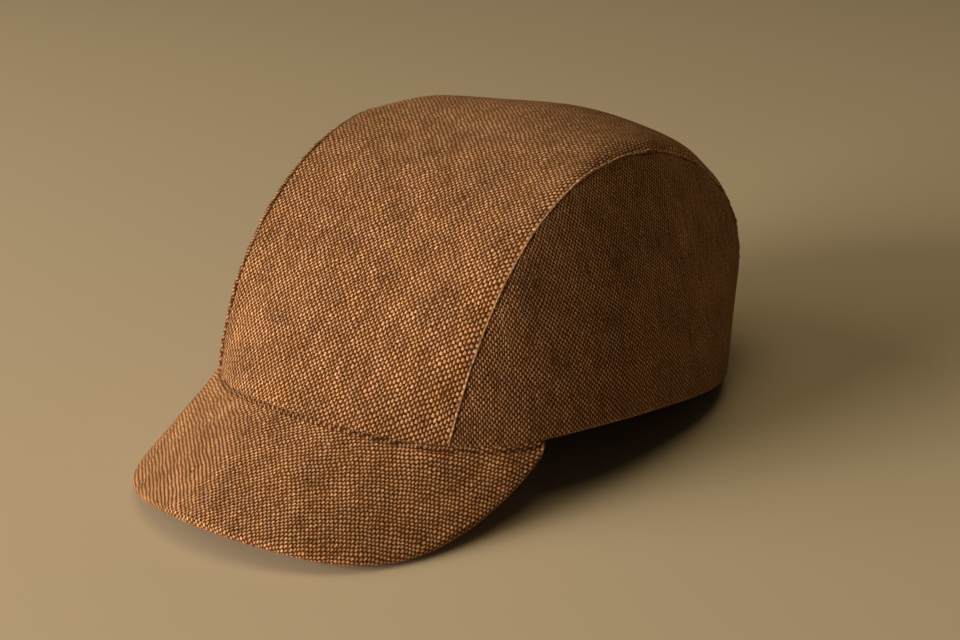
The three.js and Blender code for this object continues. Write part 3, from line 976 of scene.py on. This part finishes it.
def band_mesh(name, inset, thickness, height, rows, foot=0.0):
    """A closed band of cloth round the opening, whose lower edge reaches out to the hem by foot."""
    angle = np.linspace(-180, 180, BAND_STEPS + 1)[:-1, None]
    rise = np.linspace(GAP, height, rows)[None]
    half = thickness / 2
    edge = np.minimum(rise - GAP, height - rise)
    slack = BAND_SLACK * ripple(angle * 1.4, rise * 3, 60, BAND_SEED) * smooth(rise / 12)
    middle = inset + half + band_slope(angle) * rise - foot * (1 - smooth(rise / 6)) + slack
    thin = half - rolled(edge, half) * 0.9
    around = travelled(hem_point(angle)[:, 0][:, None], 0)

    def face(offset):
        points = hem_point(angle, middle + offset)
        return points + np.stack([0 * rise, 0 * rise, rise], -1)

    rings = np.concatenate([face(-thin), face(thin)[:, ::-1]], 1)
    columns = rings.shape[1]
    at = np.arange(BAND_STEPS * columns).reshape(BAND_STEPS, columns)
    right, up = np.roll(at, -1, 0), np.roll(at, -1, 1)
    faces = np.stack([at, right, np.roll(right, -1, 1), up], -1).reshape(-1, 4)
    heights = np.broadcast_to(np.concatenate([rise, rise[:, ::-1]], 1), at.shape)
    cloth = np.stack([np.broadcast_to(around, at.shape), heights], -1)
    piece = make_mesh(name, in_row_frame(rings.reshape(-1, 3)), faces, cloth.reshape(-1, 2))
    loop = hem_point(np.linspace(-180, 180, BAND_STEPS + 1), inset)
    return piece

finished(band_mesh("sweatband_cloth", BAND_INSET, BAND_THICKNESS, BAND_HEIGHT, 24, foot=1.0),
         band, "band", "sweatband")
finished(band_mesh("hem_stay_tape_cloth", STAY_TAPE_INSET, STAY_TAPE_THICKNESS, STAY_TAPE_HEIGHT, 10),
         tape, "tape", "hem_stay_tape")

# ---- the visor ----

VISOR_TUCK = 2.6  # the top cover runs on this far behind the crown's hem
VISOR_SNUG = 0.35  # drawn up against it
VISOR_CREASE = (0.8, 1.0, 0.45)  # depth, place and half width of the crease in front of it
VISOR_SHADE = (0.7, 0.3, 0.5)  # painted shade in the crease: how dark, where and how widely
VISOR_WAVES = 0.22  # slow unevenness of the cloth over the board
VISOR_WAVE_LENGTH = 22
VISOR_SPAN = (70, 50)  # half the visor's width and its depth, roughly, as the waves are laid over it
RIM_TURN_TOP = -12  # degrees below the middle face where the top cover's rim ends
RIM_TURN_UNDER = -20
CORNER_TAPER = 11  # the visor thins down over the last of its width at its two corners
CORNER_LIFT = 2.7
CORNER_CROWDING = 1.25  # columns of points stand closer towards the corners
COVER_COLUMNS = 300
NORMAL_SAMPLES = 30


def visor_cloth(points, normals, flat):
    """Cloth coordinates of a cover: mapped on its flat part, and carried on straight round the rim."""
    warp = np.broadcast_to(np.array([0.0, 1.0, 0.0]), points[:, :flat].shape)
    cloth = cloth_map(points[:, :flat], normals[:, :flat], warp, 0)
    heading = unit(cloth[:, -1:] - cloth[:, -3:-2])
    beyond = travelled(points[:, flat - 1 :], 1)[:, 1:, None]
    return np.concatenate([cloth, cloth[:, -1:] + heading * beyond], 1)


class Cover:
    """The shape of one cover: flat over the board, then round the rim to the seam on its lower side."""

    def __init__(self, upper):
        w = np.linspace(-1, 1, COVER_COLUMNS)[:, None]
        self.w = np.sign(w) * (1 - (1 - np.abs(w)) ** CORNER_CROWDING)
        self.width = np.linalg.norm(visor_point(self.w, 1.0) - visor_point(self.w, 0.0), axis=-1)
        half = VISOR_THICKNESS / 2
        bottom = -half + CORNER_LIFT * (1 - smooth(self.width / CORNER_TAPER))
        self.radius = (half - bottom) / 2
        self.centre = (half + bottom) / 2
        self.upper = upper
        self.near, self.far = np.linspace(0, 1, 24)[None], np.linspace(0, 1, 40)[None, 1:-1]
        start, end = (90, RIM_TURN_TOP) if upper else (-90, RIM_TURN_UNDER)
        self.turn = np.radians(np.linspace(start, end, 14))[None]
        self.flat = self.near.size + self.far.size
        along = np.linspace(0, VISOR_SPAN[1], self.flat + self.turn.size)[None]
        self.waves = VISOR_WAVES * ripple(self.w * VISOR_SPAN[0], along, VISOR_WAVE_LENGTH, VISOR_SEED)

    def profile(self, thinner):
        """Distances out from the hem, and offsets from the middle face, of a face set in by an amount."""
        bend = self.radius - thinner
        reach = np.maximum(self.width - self.radius, 0.05 * self.width)
        edge = np.minimum(4, reach / 2)
        tuck = VISOR_TUCK if self.upper else 0
        over = np.concatenate([lerp(-tuck, edge, self.near), lerp(edge, reach, self.far)], 1)
        level = self.centre + (bend if self.upper else -bend) + 0 * over
        if self.upper:
            level = level + VISOR_SNUG * (1 - smooth((over - 0.2) / 0.8)) - roll(over, *VISOR_CREASE)
        distance = np.concatenate([over, reach + bend * np.cos(self.turn)], 1)
        offset = np.concatenate([level, self.centre + bend * np.sin(self.turn)], 1)
        return distance, offset + self.waves * smooth(distance / 6) * smooth((self.width - distance) / 4)

    def normals_at(self, share):
        """The middle face's upward directions, at shares of the way from the hem to the rim."""
        sample = visor_point(self.w, np.linspace(0, 1, NORMAL_SAMPLES)[None])
        normals = unit(np.cross(np.gradient(sample, axis=1), np.gradient(sample, axis=0)))
        place_at = share * (NORMAL_SAMPLES - 1)
        low = np.clip(place_at.astype(int), 0, NORMAL_SAMPLES - 2)
        rest = np.clip(place_at - low, 0, 1)[..., None]
        rows = np.arange(COVER_COLUMNS)[:, None]
        return unit(lerp(normals[rows, low], normals[rows, low + 1], rest))

    def face(self, thinner):
        """Points, upward directions and distances out from the hem of a face set in by an amount."""
        distance, offset = self.profile(np.minimum(thinner, self.radius * 0.6))
        share = distance / self.width
        normals = self.normals_at(share)
        return visor_point(self.w, share) + normals * offset[..., None], normals, distance


def visor_cover(name, node, upper):
    """One cover of the visor, with the crease where the upper one meets the crown and painted shade in it."""
    cover = Cover(upper)
    outside, normals, distance = cover.face(0.0)
    inside = cover.face(VISOR_CLOTH)[0]
    cloth = visor_cloth(outside, normals, cover.flat)
    # Painted shade in the crease where the upper cover meets the crown.
    shade = roll(distance, *VISOR_SHADE) if upper else 0 * distance
    grids = [outside, inside, cloth, shade]
    if upper:
        grids = [grid[:, ::-1] for grid in grids]
    outer, inner, cloth, shade = grids
    piece = sheet_mesh(name, outer, inner, cloth, crease=shade)
    finished(piece, visor_tweed_painted_light, "tweed", node)


visor_cover("visor_top_cloth", "visor_top_cover", True)
visor_cover("visor_under_cloth", "visor_under_cover", False)
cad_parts["visor_board"].data.materials.clear()
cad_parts["visor_board"].data.materials.append(board)
